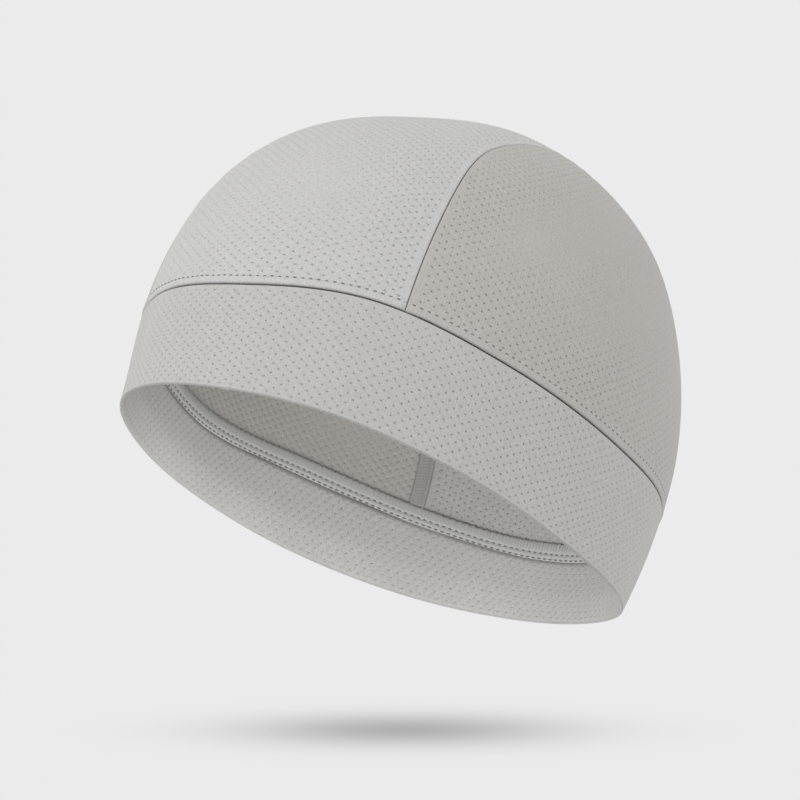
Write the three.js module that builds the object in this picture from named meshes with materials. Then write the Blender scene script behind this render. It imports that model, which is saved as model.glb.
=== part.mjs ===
// A close-fitting stretch cap, as worn under a cycling helmet, sewn from thin perforated knit.
//
// A strip runs from the front over the top to the back, with a side panel on each side of it.
// All three are sewn at their lower edge to a doubled head band, folded at the rim. The sewn
// edge of that seam is turned up inside the crown, where it shows as a raised strip.
//
// Lengths are in millimetres. In the cap's own frame the opening's centre is the origin, +Z is
// the wearer's up, the front is -Y and the wearer's left is +X. Last, the whole cap is turned
// to the pose in which it is worn: tipped back, and leaning a little to the wearer's left.

import * as THREE from "three";
import { mergeVertices } from "three/addons/utils/BufferGeometryUtils.js";

// The worn form, a head of 57 cm round
const OPENING_LENGTH = 200;
const OPENING_WIDTH = 162;
const CROWN_HEIGHT = 133;
const CROWN_LEAN = 4;
const TIP_BACK = THREE.MathUtils.degToRad(27.8);
const LEAN_LEFT = THREE.MathUtils.degToRad(2.4);

// The panels
const STRIP_WIDTH = 90;
const BAND_HEIGHT = 39;
const RIM_SWING = 3.5;

// The cloth
const KNIT_WALL = 1;
const BAND_WALL = 2;
const ALLOWANCE_HEIGHT = 6.5;
const ALLOWANCE_WALL = 1.4;
const SEAM_GAP = 0.3;

// Roundness of the cap's upright profile towards the front, back and side: a wall power of 2
// leaves the rim as a circle does, more keeps the wall upright for longer, and a crown power
// above 2 makes the top flatter
const PROFILE = {
  front: { wallPower: 2.2, crownPower: 2.1 },
  back: { wallPower: 2.4, crownPower: 1.8 },
  side: { wallPower: 3.35, crownPower: 2.85 },
};
const SWELL = 0.065;
const EGG = 0.03;

// Round the cap from the front towards the wearer's left: the band's height as a share of
// BAND_HEIGHT, deep over the left ear and shallow on the right, where it is pulled up, and how
// far the rim lifts or drops as a share of RIM_SWING
const AROUND = [
  { degrees: 0, bandHeight: 0.845, rimLift: 0.8 },
  { degrees: 30, bandHeight: 0.945, rimLift: 0.8 },
  { degrees: 60, bandHeight: 0.93, rimLift: 0.0 },
  { degrees: 90, bandHeight: 0.93, rimLift: -1.0 },
  { degrees: 120, bandHeight: 0.9, rimLift: -0.9 },
  { degrees: 150, bandHeight: 0.64, rimLift: -0.2 },
  { degrees: 180, bandHeight: 0.6, rimLift: -0.2 },
  { degrees: 210, bandHeight: 0.68, rimLift: -0.4 },
  { degrees: 240, bandHeight: 0.69, rimLift: -0.2 },
  { degrees: 270, bandHeight: 0.57, rimLift: 0.5 },
  { degrees: 300, bandHeight: 0.66, rimLift: 1.2 },
  { degrees: 330, bandHeight: 0.8, rimLift: 1.0 },
];

// Along the strip, from the front of the opening to its back: its width as a share of
// STRIP_WIDTH
const ALONG_STRIP = [
  { place: -1.0, width: 1.22 },
  { place: -0.8, width: 1.07 },
  { place: -0.6, width: 0.93 },
  { place: -0.4, width: 0.94 },
  { place: -0.2, width: 0.96 },
  { place: 0.0, width: 0.98 },
  { place: 0.2, width: 1.0 },
  { place: 0.4, width: 1.0 },
  { place: 0.6, width: 1.0 },
  { place: 0.8, width: 0.99 },
  { place: 1.0, width: 0.98 },
];

// How finely each piece is divided
const RING_SECTIONS = 72;
const BAND_ROWS = 3;
const FOLD_STEPS = 4;
const STRIP_STEPS = { across: 12, along: 44 };
const SIDE_STEPS = { up: 14, along: 36 };

// How closely the outer face is met, and how near two corners lie to be joined
const HALVINGS = 40;
const SLOPE_STEP = 0.01;
const JOIN_DISTANCE = 0.001;

const CLOTH_ROUGHNESS = 0.9;

const HALF_LENGTH = OPENING_LENGTH / 2;
const HALF_WIDTH = OPENING_WIDTH / 2;
const FULL_TURN = 2 * Math.PI;

// A value between a table's evenly spaced rows, on a smooth curve through them
function betweenRows(rows, column, place, closed) {
  const count = rows.length;
  const at = (i) => {
    const row = closed ? (i + count) % count : Math.min(Math.max(i, 0), count - 1);
    return rows[row][column];
  };
  const row = Math.floor(place);
  const part = place - row;
  const [before, start, end, after] = [row - 1, row, row + 1, row + 2].map(at);
  const slope = (end - before) / 2;
  const nextSlope = (after - start) / 2;
  const rise = end - start;
  return (
    start +
    part * (slope + part * (3 * rise - 2 * slope - nextSlope + part * (slope + nextSlope - 2 * rise)))
  );
}

// The direction round the cap of a point, from 0 at the front towards the wearer's left
function angleAt(x, y) {
  return (Math.atan2(x / HALF_WIDTH, -y / HALF_LENGTH) + FULL_TURN) % FULL_TURN;
}

function around(column, angle) {
  const rowAngle = THREE.MathUtils.degToRad(AROUND[1].degrees);
  return betweenRows(AROUND, column, angle / rowAngle, true);
}

function rimHeight(angle) {
  return RIM_SWING * around("rimLift", angle);
}

function seamHeight(angle) {
  return rimHeight(angle) + BAND_HEIGHT * around("bandHeight", angle);
}

// Half the strip's width at a place along the cap
function stripReach(y) {
  const [first, second] = ALONG_STRIP;
  const row = (y / HALF_LENGTH - first.place) / (second.place - first.place);
  const place = Math.min(Math.max(row, 0), ALONG_STRIP.length - 1);
  return (STRIP_WIDTH / 2) * betweenRows(ALONG_STRIP, "width", place, false);
}

// A power of the profile, blended between front, back and side by direction
function profilePower(name, angle) {
  const forward = (1 + Math.cos(angle)) / 2;
  const { front, back, side } = PROFILE;
  const lengthwise = front[name] * forward + back[name] * (1 - forward);
  const sideways = Math.sin(angle) ** 2;
  return side[name] * sideways + lengthwise * (1 - sideways);
}

// Below zero inside the cap's outer face, zero on it and above zero outside
function beyondShell(point) {
  const angle = angleAt(point.x, point.y);
  const rim = rimHeight(angle);
  const height = Math.max((point.z - rim) / (CROWN_HEIGHT - rim), 0);
  const y = (point.y + CROWN_LEAN * height * height) / HALF_LENGTH;
  const x = point.x / (HALF_WIDTH * (1 + EGG * y));
  const share = 4 * height * (1 - height); // 1 at half height, 0 at the rim and the top
  const swelling = 1 + SWELL * share;
  const spread = Math.hypot(x, y) / swelling;
  return (
    spread ** profilePower("crownPower", angle) + height ** profilePower("wallPower", angle) - 1
  );
}

// The last share, from 0 to 1, for which a test still holds
function lastShare(holds) {
  let low = 0;
  let high = 1;
  for (let i = 0; i < HALVINGS; i += 1) {
    const middle = (low + high) / 2;
    if (holds(middle)) low = middle;
    else high = middle;
  }
  return low;
}

// The point of the outer face that a path of points, from inside to outside, passes through
function onShell(path) {
  return path(lastShare((share) => beyondShell(path(share)) < 0));
}

// The outward direction of the outer face at a point
function outward(point) {
  const slope = (axis) => {
    const ahead = point.clone();
    const behind = point.clone();
    ahead[axis] += SLOPE_STEP;
    behind[axis] -= SLOPE_STEP;
    return beyondShell(ahead) - beyondShell(behind);
  };
  return new THREE.Vector3(slope("x"), slope("y"), slope("z")).normalize();
}

// A point at a depth under the outer face
function under(point, depth) {
  return point.clone().addScaledVector(outward(point), -depth);
}

// The outer face's point at an angle round the cap and a height
function ringPoint(angle, height) {
  const reach = OPENING_LENGTH * Math.cos(angle);
  const spread = OPENING_WIDTH * Math.sin(angle);
  return onShell((share) => new THREE.Vector3(spread * share, -reach * share, height));
}

// The outer face's point on the strip: across runs from -1 to 1 between its edges, each moved
// inwards by a margin, and turn is the angle over the top from the front
function stripPoint(across, turn, margin) {
  const radius = OPENING_LENGTH + CROWN_HEIGHT;
  return onShell((share) => {
    const y = -radius * share * Math.cos(turn);
    const z = radius * share * Math.sin(turn);
    return new THREE.Vector3(across * (stripReach(y) - margin), y, z);
  });
}

// The turns over the top at which a line of the strip leaves the band seam and comes back
function stripEnds(across, margin) {
  const belowSeam = (turn) => {
    const point = stripPoint(across, turn, margin);
    return point.z < seamHeight(angleAt(point.x, point.y)) + SEAM_GAP / 2;
  };
  const quarter = Math.PI / 2;
  return {
    front: quarter * lastShare((share) => belowSeam(quarter * share)),
    back: Math.PI - quarter * lastShare((share) => belowSeam(Math.PI - quarter * share)),
  };
}

// A solid from rows of corner points and the faces between them, facing outwards
function solid(rows, closedRows, closedColumns) {
  const width = rows[0].length;
  const positions = rows.flat().flatMap((point) => [point.x, point.y, point.z]);
  const corners = (row, column) => (row % rows.length) * width + (column % width);
  const faces = [];
  for (let i = 0; i < rows.length - (closedRows ? 0 : 1); i += 1) {
    for (let j = 0; j < width - (closedColumns ? 0 : 1); j += 1) {
      const [a, b] = [corners(i, j), corners(i + 1, j)];
      const [c, d] = [corners(i + 1, j + 1), corners(i, j + 1)];
      faces.push(a, b, c, a, c, d);
    }
  }
  return { positions, faces };
}

// One geometry from a solid's points and faces, with equal corners joined and faces without
// area left out
function toGeometry({ positions, faces }) {
  const raw = new THREE.BufferGeometry();
  raw.setAttribute("position", new THREE.Float32BufferAttribute(positions, 3));
  raw.setIndex(faces);
  const merged = mergeVertices(raw, JOIN_DISTANCE);
  const index = [...merged.index.array];
  const kept = [];
  for (let i = 0; i < index.length; i += 3) {
    const [a, b, c] = index.slice(i, i + 3);
    if (a !== b && b !== c && c !== a) kept.push(a, b, c);
  }
  merged.setIndex(kept);
  const geometry = merged.toNonIndexed();
  geometry.computeVertexNormals();
  return geometry;
}

// A ring with the same section all the way round: section gives, for an angle, its corners as
// heights and depths under the outer face, down the inner wall and up the outer one
function ring(section) {
  const rows = [];
  for (let i = 0; i < RING_SECTIONS; i += 1) {
    const angle = (FULL_TURN * i) / RING_SECTIONS;
    rows.push(section(angle).map(({ height, depth }) => under(ringPoint(angle, height), depth)));
  }
  return toGeometry(solid(rows, true, true));
}

// A sheet of cloth from a grid of outer points, one wall thick
function sheet(grid) {
  const inner = grid.map((row) => row.map((point) => under(point, KNIT_WALL)));
  const loops = grid.map((row, i) => [...row, ...inner[i].toReversed()]);
  const { positions, faces } = solid(loops, false, true);
  const width = grid[0].length;
  const capEnd = (row, flipped) => {
    const start = row * 2 * width;
    for (let j = 0; j < width - 1; j += 1) {
      const [a, b] = [start + j, start + j + 1];
      const [c, d] = [start + 2 * width - 2 - j, start + 2 * width - 1 - j];
      faces.push(...(flipped ? [a, c, b, a, d, c] : [a, b, c, a, c, d]));
    }
  };
  capEnd(0, false);
  capEnd(grid.length - 1, true);
  return toGeometry({ positions, faces });
}

function bandSection(angle) {
  const rim = rimHeight(angle);
  const top = seamHeight(angle) - SEAM_GAP / 2;
  const radius = BAND_WALL / 2;
  const wallRow = (i, depth) => ({ height: top + ((rim + radius - top) * i) / BAND_ROWS, depth });
  const inner = Array.from({ length: BAND_ROWS }, (_, i) => wallRow(i, BAND_WALL));
  const fold = Array.from({ length: FOLD_STEPS + 1 }, (_, i) => {
    const turn = (Math.PI * i) / FOLD_STEPS;
    return {
      height: rim + radius * (1 - Math.sin(turn)),
      depth: radius * (1 + Math.cos(turn)),
    };
  });
  const outer = Array.from({ length: BAND_ROWS }, (_, i) => wallRow(BAND_ROWS - 1 - i, 0));
  return [...inner, ...fold, ...outer];
}

function allowanceSection(angle) {
  const low = seamHeight(angle) + SEAM_GAP / 2;
  const near = KNIT_WALL + SEAM_GAP;
  const far = near + ALLOWANCE_WALL;
  const middle = low + ALLOWANCE_HEIGHT / 2;
  const high = low + ALLOWANCE_HEIGHT;
  return [
    { height: high, depth: far },
    { height: middle, depth: far },
    { height: low, depth: far },
    { height: low, depth: near },
    { height: middle, depth: near },
    { height: high, depth: near },
  ];
}

function centerGrid() {
  const { across, along } = STRIP_STEPS;
  const grid = [];
  for (let i = 0; i <= across; i += 1) {
    const place = (2 * i) / across - 1;
    const { front, back } = stripEnds(place, SEAM_GAP / 2);
    const row = [];
    for (let j = 0; j <= along; j += 1) {
      row.push(stripPoint(place, front + ((back - front) * j) / along, SEAM_GAP / 2));
    }
    grid.push(row);
  }
  return grid;
}

// A side panel's grid, from the band seam up to the strip seam; side is 1 for the wearer's
// left and -1 for the right
function sideGrid(side) {
  const { up, along } = SIDE_STEPS;
  const { front, back } = stripEnds(side, -SEAM_GAP / 2);
  const onStrip = (share) => stripPoint(side, front + (back - front) * share, -SEAM_GAP / 2);
  const angleOf = (point) => angleAt(side * point.x, point.y);
  const firstAngle = angleOf(onStrip(0));
  const lastAngle = angleOf(onStrip(1));
  const onBand = (share) => {
    const angle = side * (firstAngle + (lastAngle - firstAngle) * share);
    const wrapped = (angle + FULL_TURN) % FULL_TURN;
    return ringPoint(wrapped, seamHeight(wrapped) + SEAM_GAP / 2);
  };
  const grid = [];
  for (let i = 0; i <= along; i += 1) {
    const share = i / along;
    const high = onStrip(share);
    const low = i === 0 || i === along ? high : onBand(share);
    const row = [];
    for (let j = 0; j <= up; j += 1) {
      // From the cap's middle outwards, through a point between both edges and past the face
      const aim = low.clone().lerp(high, j / up).multiplyScalar(2);
      row.push(onShell((part) => aim.clone().multiplyScalar(part)));
    }
    row[0] = low;
    row[up] = high;
    grid.push(side > 0 ? row : row.toReversed());
  }
  return grid;
}

function piece(name, geometry, color) {
  const material = new THREE.MeshStandardMaterial({
    color,
    roughness: CLOTH_ROUGHNESS,
    metalness: 0,
  });
  const mesh = new THREE.Mesh(geometry, material);
  mesh.name = name;
  return mesh;
}

const cap = new THREE.Group();
cap.rotation.set(-TIP_BACK, LEAN_LEFT, 0);
cap.add(
  piece("crown_center_panel", sheet(centerGrid()), 0xc6c6c1),
  piece("crown_side_panel_left", sheet(sideGrid(1)), 0xb9b6b0),
  piece("crown_side_panel_right", sheet(sideGrid(-1)), 0xb9b6b0),
  piece("band", ring(bandSection), 0xc2c2bd),
  piece("band_seam_allowance", ring(allowanceSection), 0xaeaea7),
);

export default cap;
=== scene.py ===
# %% [markdown]
# # A stretch cap sewn from perforated knit
#
# The cap is worn under a cycling helmet. It has a strip over the top of the head, a panel on
# each side of it and a doubled band round the opening. Its solids are already packed at their
# real size and place, so they are loaded first as a fixed frame. Every piece below takes the
# place of one of them, or lies on it.

# %% Load the frame
import math

import bmesh
import bpy
import numpy as np
from mathutils import Matrix, Vector


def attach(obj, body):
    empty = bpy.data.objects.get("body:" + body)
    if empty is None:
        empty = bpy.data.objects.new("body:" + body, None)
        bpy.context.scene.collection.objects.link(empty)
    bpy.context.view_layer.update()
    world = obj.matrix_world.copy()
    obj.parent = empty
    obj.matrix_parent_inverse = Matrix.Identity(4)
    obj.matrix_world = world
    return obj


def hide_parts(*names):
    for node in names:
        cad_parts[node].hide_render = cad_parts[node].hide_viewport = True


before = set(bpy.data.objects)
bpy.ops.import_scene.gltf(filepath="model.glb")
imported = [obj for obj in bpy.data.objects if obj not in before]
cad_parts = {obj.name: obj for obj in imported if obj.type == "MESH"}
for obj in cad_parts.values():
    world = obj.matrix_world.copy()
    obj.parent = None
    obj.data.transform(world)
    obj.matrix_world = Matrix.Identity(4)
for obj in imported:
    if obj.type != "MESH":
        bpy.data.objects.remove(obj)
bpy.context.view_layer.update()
print("solids:", sorted(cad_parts))

# %% [markdown]
# ## The form that the cloth is stretched over
#
# Knit this thin has no shape of its own: it takes the shape of the head. One formula for that
# form serves every piece, so their edges meet by themselves. A sculpted mesh could do it too,
# but then each seam would have to be matched by hand. All lengths here are in millimetres, in
# the cap's own frame: the front is -Y, the wearer's left is +X and the rim lies near Z 0.

# %% Sizes of the form, the same as the solids have
MM = 0.001
OPENING_LENGTH = 200.0
OPENING_WIDTH = 162.0
CROWN_HEIGHT = 133.0
CROWN_LEAN = 4.0
TIP_BACK = math.radians(27.8)
LEAN_LEFT = math.radians(2.4)
STRIP_WIDTH = 90.0
BAND_HEIGHT = 39.0
RIM_SWING = 3.5
KNIT_WALL = 1.0
BAND_WALL = 2.0
ALLOWANCE_HEIGHT = 6.5
SEAM_GAP = 0.3
PROFILE = {
    "wall": {"front": 2.2, "back": 2.4, "side": 3.35},
    "crown": {"front": 2.1, "back": 1.8, "side": 2.85},
}
SWELL = 0.065
EGG = 0.03
# Every 30 degrees round the cap from the front towards the wearer's left
BAND_SHARE = np.array([0.845, 0.945, 0.93, 0.93, 0.9, 0.64, 0.6, 0.68, 0.69, 0.57, 0.66, 0.8])
RIM_LIFT = np.array([0.8, 0.8, 0.0, -1.0, -0.9, -0.2, -0.2, -0.4, -0.2, 0.5, 1.2, 1.0])
# From the front of the opening to its back, at these shares of half its length
STRIP_PLACES = np.linspace(-1, 1, 11)
STRIP_SHARE = np.array([1.22, 1.07, 0.93, 0.94, 0.96, 0.98, 1.0, 1.0, 1.0, 0.99, 0.98])
HALF_LENGTH = OPENING_LENGTH / 2
HALF_WIDTH = OPENING_WIDTH / 2
FULL_TURN = 2 * math.pi
HALVINGS = 30
TINY = 0.001
SLOPE_STEP = 0.01
print("opening in mm:", OPENING_LENGTH, "by", OPENING_WIDTH)

# %% The formula of the form, worked out for whole arrays of points at once


def between_rows(values, place, closed):
    """Values on a smooth curve through evenly spaced ones."""
    count = len(values)
    row = np.floor(place).astype(int)
    part = place - row

    def pick(i):
        return values[i % count] if closed else values[np.clip(i, 0, count - 1)]

    before, start, end, after = (pick(row + k) for k in (-1, 0, 1, 2))
    slope, next_slope, rise = (end - before) / 2, (after - start) / 2, end - start
    bend = slope + next_slope - 2 * rise
    return start + part * (slope + part * (3 * rise - 2 * slope - next_slope + part * bend))


def angle_at(x, y):
    return np.arctan2(x / HALF_WIDTH, -y / HALF_LENGTH) % FULL_TURN


def around(values, angle):
    return between_rows(values, np.asarray(angle) / FULL_TURN * len(values), True)


def rim_height(angle):
    return RIM_SWING * around(RIM_LIFT, angle)


def seam_height(angle):
    return rim_height(angle) + BAND_HEIGHT * around(BAND_SHARE, angle)


def strip_reach(y):
    row = (y / HALF_LENGTH - STRIP_PLACES[0]) / (STRIP_PLACES[1] - STRIP_PLACES[0])
    place = np.clip(row, 0, len(STRIP_PLACES) - 1)
    return STRIP_WIDTH / 2 * between_rows(STRIP_SHARE, place, False)


def power(kind, angle):
    forward = (1 + np.cos(angle)) / 2
    lengthwise = PROFILE[kind]["front"] * forward + PROFILE[kind]["back"] * (1 - forward)
    sideways = np.sin(angle) ** 2
    return PROFILE[kind]["side"] * sideways + lengthwise * (1 - sideways)


def beyond_shell(points):
    """Below zero inside the cap's outer face, zero on it and above zero outside."""
    angle = angle_at(points[:, 0], points[:, 1])
    rim = rim_height(angle)
    height = np.maximum((points[:, 2] - rim) / (CROWN_HEIGHT - rim), 0)
    y = (points[:, 1] + CROWN_LEAN * height**2) / HALF_LENGTH
    x = points[:, 0] / (HALF_WIDTH * (1 + EGG * y))
    spread = np.hypot(x, y) / (1 + SWELL * 4 * height * (1 - height))
    return spread ** power("crown", angle) + height ** power("wall", angle) - 1


def last_share(holds, count):
    """For each of count cases, the last share from 0 to 1 for which holds is true."""
    low, high = np.zeros(count), np.ones(count)
    for _ in range(HALVINGS):
        middle = (low + high) / 2
        inside = holds(middle)
        low, high = np.where(inside, middle, low), np.where(inside, high, middle)
    return low


def slopes(points):
    steps = np.eye(3) * SLOPE_STEP
    return np.stack([beyond_shell(points + s) - beyond_shell(points - s) for s in steps], axis=1)


def outward(points):
    slope = slopes(points)
    return slope / np.linalg.norm(slope, axis=1, keepdims=True)


def sunk(points, depth):
    """Points of the outer face moved inwards by a depth, or outwards where it is below zero."""
    return points - outward(points) * np.reshape(depth, (-1, 1))


def ring_points(angle, height):
    """Points of the outer face at angles round the cap and heights."""
    reach = np.stack([OPENING_WIDTH * np.sin(angle), -OPENING_LENGTH * np.cos(angle)], axis=1)

    def path(share):
        return np.column_stack([reach * share[:, None], height])

    return path(last_share(lambda share: beyond_shell(path(share)) < 0, len(angle)))


def strip_points(across, turn, margin):
    """Points of the strip: across from -1 to 1, turn over the top from the front."""
    radius = OPENING_LENGTH + CROWN_HEIGHT

    def path(share):
        y, z = -radius * share * np.cos(turn), radius * share * np.sin(turn)
        return np.column_stack([across * (strip_reach(y) - margin), y, z])

    return path(last_share(lambda share: beyond_shell(path(share)) < 0, len(turn)))


WORN = Matrix.Rotation(-TIP_BACK, 4, "X") @ Matrix.Rotation(LEAN_LEFT, 4, "Y") @ Matrix.Scale(MM, 4)


def worn(points):
    """From the cap's own frame in millimetres to the worn pose in metres."""
    return points @ np.array(WORN.to_3x3()).T


top = ring_points(np.array([0.0, math.pi / 2]), np.array([60.0, 60.0]))
print("form at 60 mm up, in mm: front", top[0].round(1), "side", top[1].round(1))

# %% [markdown]
# ## Cutting and perforating the cloth flat
#
# A real cap is cut from flat cloth that is already perforated, and only then shaped. The same
# order works here. Each panel starts as a flat grid whose crossings lie where the holes are. A
# vertex bevel opens a small four-sided face at each hole, and poke sinks its middle. Cutting
# thousands of holes with booleans would take minutes and leave a mesh that shades badly.
#
# Holes stop short of a seam, where the cloth is turned in. The perforated part ends on a line
# beside the seam, and rows of edges are extruded from there up to it, to round the edge over.

# %% Sizes of the perforation and of the seam's edge
COLUMN_STEP = 2.0
ROW_STEP = 1.5
HOLE_RADIUS = 0.5
# How much wider and lower than a square a hole is, on flat cloth and on the upright band
FLAT_HOLE = Vector((1.15, 0.8, 1.0))
UPRIGHT_HOLE = Vector((1.15, 1.15, 0.8))
HOLE_STRAY = 0.12
HOLE_DEPTH = 0.45
# Painted shade of each hole: faint at its rim, and at its middle from the weakest up to full
HOLE_RIM_SHADE = 0.04
HOLE_WEAKEST = 0.55
# A panel's edge follows one of these seams, and a corner follows both
STRIP_SEAM, BAND_SEAM, BOTH_SEAMS = 0, 1, 2
# How wide the plain hem is beside the strip seam and beside the band seam
HEMS = np.array([0.8, 2.95])
# Rows of the hem by their share of its width, and the painted shade that draws the dark line
# of the groove at the band seam
HEM_SHARES = [0.9, 0.8, 0.7, 0.53, 0.32, 0.18, 0.07, 0.0]
HEM_SHADES = [0.0, 0.0, 0.0, 0.0, 0.0, 0.0, 0.2, 0.9]
# At the strip seam the groove's painted shade is this share of that at the band seam
LINE_SHADE = 0.45
rng = np.random.default_rng(11)
NEWTON_STEPS = 4
FLAT_STEP = 0.5
UV_SCALE = 0.01
print("one hole for every", COLUMN_STEP * ROW_STEP * 2, "square mm of cloth")

# %% Moving points of flat cloth beside the seams


def flat_of(verts):
    return np.array([v.co.xy for v in verts]).reshape(-1, 2)


def edge_verts(edges):
    return {v for e in edges for v in e.verts}


def only(kind, geometry):
    return [g for g in geometry if isinstance(g, kind)]


def open_edges(edges):
    return [e for e in edges if e.is_boundary]


def to_level(seams, flat, follow, share):
    """Points moved until they lie at a share of the hem from the seam or seams they follow."""
    flat = flat.copy()
    steps = np.eye(2) * FLAT_STEP
    for _ in range(NEWTON_STEPS):
        miss = HEMS * share - seams(flat)
        slope = np.stack([seams(flat + s) - seams(flat - s) for s in steps], axis=2)
        slope /= 2 * FLAT_STEP
        for which in (STRIP_SEAM, BAND_SEAM):
            on = follow == which
            along = slope[on, which]
            size = (along**2).sum(1, keepdims=True)
            flat[on] += miss[on, which][:, None] * along / size
        both = follow == BOTH_SEAMS
        if both.any():
            flat[both] += np.linalg.solve(slope[both], miss[both][:, :, None])[:, :, 0]
    return flat


print("an edge is set in", NEWTON_STEPS, "steps, at the hems", HEMS, "mm wide")

# %% Perforating a flat grid


def perforate(bm, verts, depth, shape):
    """Opens a small oblong sunk dip at each vertex, and marks the painted shade that darkens it."""
    shade = bm.verts.layers.float["painted_shade_amount"]
    opened = bmesh.ops.bevel(
        bm, geom=verts, offset=HOLE_RADIUS, offset_type="OFFSET", segments=1,
        profile=0.5, affect="VERTICES", material=-1, clamp_overlap=True,
    )
    for face in opened["faces"]:
        centre = face.calc_center_median()
        for v in face.verts:
            v.co = centre + (v.co - centre) * shape
            v[shade] = HOLE_RIM_SHADE
    sunk = bmesh.ops.poke(bm, faces=opened["faces"], offset=-depth, use_relative_offset=False)
    for v, strength in zip(sunk["verts"], rng.uniform(HOLE_WEAKEST, 1, len(sunk["verts"]))):
        v[shade] = strength
    return len(verts)


def new_piece_mesh():
    bm = bmesh.new()
    bm.verts.layers.float.new("painted_shade_amount")
    bm.loops.layers.uv.new("cloth")
    return bm


def flat_grid(bm, columns, rows, column_step, row_step, corner=(0, 0)):
    """Adds a flat grid from a corner point, and finds its vertices at every second crossing."""
    verts = bmesh.ops.create_grid(bm, x_segments=columns, y_segments=rows, size=1)["verts"]
    wide, high = columns * column_step, rows * row_step
    centre = (corner[0] + wide / 2, corner[1] + high / 2, 0)
    bmesh.ops.scale(bm, vec=(wide / 2, high / 2, 1), verts=verts)
    bmesh.ops.translate(bm, vec=centre, verts=verts)
    crossings = [
        v for v in verts
        if (round((v.co.x - corner[0]) / column_step) + round((v.co.y - corner[1]) / row_step)) % 2
    ]
    return verts, crossings


print("holes", HOLE_DEPTH, "mm deep, strayed by", HOLE_STRAY, "mm")

# %% Cutting a panel


def around_edge(bm):
    """The vertices of a panel's open edge, in their order along it."""
    ordered = [next(v for v in bm.verts if v.is_boundary)]
    passed = set(ordered)
    while True:
        beside = [e.other_vert(ordered[-1]) for e in ordered[-1].link_edges if e.is_boundary]
        fresh = [v for v in beside if v not in passed]
        if not fresh:
            return ordered
        ordered.append(fresh[0])
        passed.add(fresh[0])


def cut_panel(low, high, seams, corners):
    """A perforated flat panel with a plain hem, from its flat box, the distances to its two
    seams and its corners, where the seams meet."""
    columns = math.ceil((high[0] - low[0]) / COLUMN_STEP)
    rows = math.ceil((high[1] - low[1]) / ROW_STEP)
    bm = new_piece_mesh()
    _, crossings = flat_grid(bm, columns, rows, COLUMN_STEP, ROW_STEP, low)
    faces = list(bm.faces)
    centres = np.array([f.calc_center_median().xy for f in faces])
    outside = (seams(centres) < HEMS).any(axis=1)
    bmesh.ops.delete(bm, geom=[f for f, out in zip(faces, outside) if out], context="FACES")
    edge = around_edge(bm)
    flat = flat_of(edge)
    follow = (seams(flat) / HEMS).argmin(axis=1)
    at_corners = np.full(len(corners), BOTH_SEAMS)
    turns = to_level(seams, np.array(corners, dtype=float), at_corners, 1)
    ends = sorted(int(np.linalg.norm(flat - turn, axis=1).argmin()) for turn in turns)
    for start, end in zip(ends, ends[1:] + [ends[0] + len(edge)]):
        between = np.arange(start + 1, end) % len(edge)
        follow[between] = round(float(follow[between].mean()))
    follow[ends] = BOTH_SEAMS
    follows = dict(zip(edge, follow))
    for v, at in zip(edge, to_level(seams, flat, follow, 1)):
        v.co.xy = at
    inner = [v for v in crossings if v.is_valid and not v.is_boundary]
    clear = (seams(flat_of(inner)) > HEMS + HOLE_RADIUS).all(axis=1)
    chosen = [v for v, free in zip(inner, clear) if free]
    for v, stray in zip(chosen, rng.normal(0, HOLE_STRAY, (len(chosen), 2))):
        v.co.xy += Vector(stray)
    holes = perforate(bm, chosen, HOLE_DEPTH, FLAT_HOLE)
    rim = open_edges(bm.edges)
    mark = bm.verts.layers.float["painted_shade_amount"]
    # The rows nearest the seam get painted shade, the dark line of its groove
    for share, shade in zip(HEM_SHARES, HEM_SHADES):
        grown = bmesh.ops.extrude_edge_only(bm, edges=rim)["geom"]
        new = only(bmesh.types.BMVert, grown)
        old = [next(e.other_vert(v) for e in v.link_edges if e.other_vert(v) in follows) for v in new]
        follows = {v: follows[was] for v, was in zip(new, old)}
        chosen = np.array(list(follows.values()))
        for v, at in zip(new, to_level(seams, flat_of(new), chosen, share)):
            v.co.xy = at
            v[mark] = shade * (1.0 if follows[v] == BAND_SEAM else LINE_SHADE)
        rim = open_edges(only(bmesh.types.BMEdge, grown))
    return bm, holes


print("rows in a hem:", len(HEM_SHARES))

# %% From a flat panel to an object


def give_wall(bm, wall):
    """A second, turned-over layer under the flat cloth, joined to it round the edge."""
    rim = open_edges(bm.edges)
    twin = bmesh.ops.duplicate(bm, geom=bm.verts[:] + bm.edges[:] + bm.faces[:])["geom"]
    for v in only(bmesh.types.BMVert, twin):
        v.co.z = -wall - v.co.z
    bmesh.ops.reverse_faces(bm, faces=only(bmesh.types.BMFace, twin))
    bmesh.ops.bridge_loops(bm, edges=rim + open_edges(only(bmesh.types.BMEdge, twin)))


def keep_flat_uv(bm, faces):
    """Keeps the flat place of each corner of the faces as its UV."""
    uv = bm.loops.layers.uv["cloth"]
    for face in faces:
        for loop in face.loops:
            loop[uv].uv = loop.vert.co.xy * UV_SCALE


def mount_piece(name, mesh, material):
    """Makes the object of a finished mesh, which rides on the cap."""
    mesh.shade_smooth()
    mesh.materials.clear()
    mesh.materials.append(material)
    piece = bpy.data.objects.new(name, mesh)
    bpy.context.scene.collection.objects.link(piece)
    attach(piece, "root")
    mesh.calc_loop_triangles()
    print(name, "has", len(mesh.loop_triangles), "triangles")
    return piece


def finish_piece(name, bm, material, replaced=()):
    """Makes the object, with its faces outwards, and hides the solids that it takes the place of."""
    bmesh.ops.recalc_face_normals(bm, faces=bm.faces)
    bmesh.ops.transform(bm, matrix=WORN, verts=bm.verts)
    mesh = bpy.data.meshes.new(name)
    bm.to_mesh(mesh)
    bm.free()
    piece = mount_piece(name, mesh, material)
    if replaced:
        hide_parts(*replaced)
    return piece


print("flat places are kept as UV, in units of", 1 / UV_SCALE, "mm")

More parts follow.
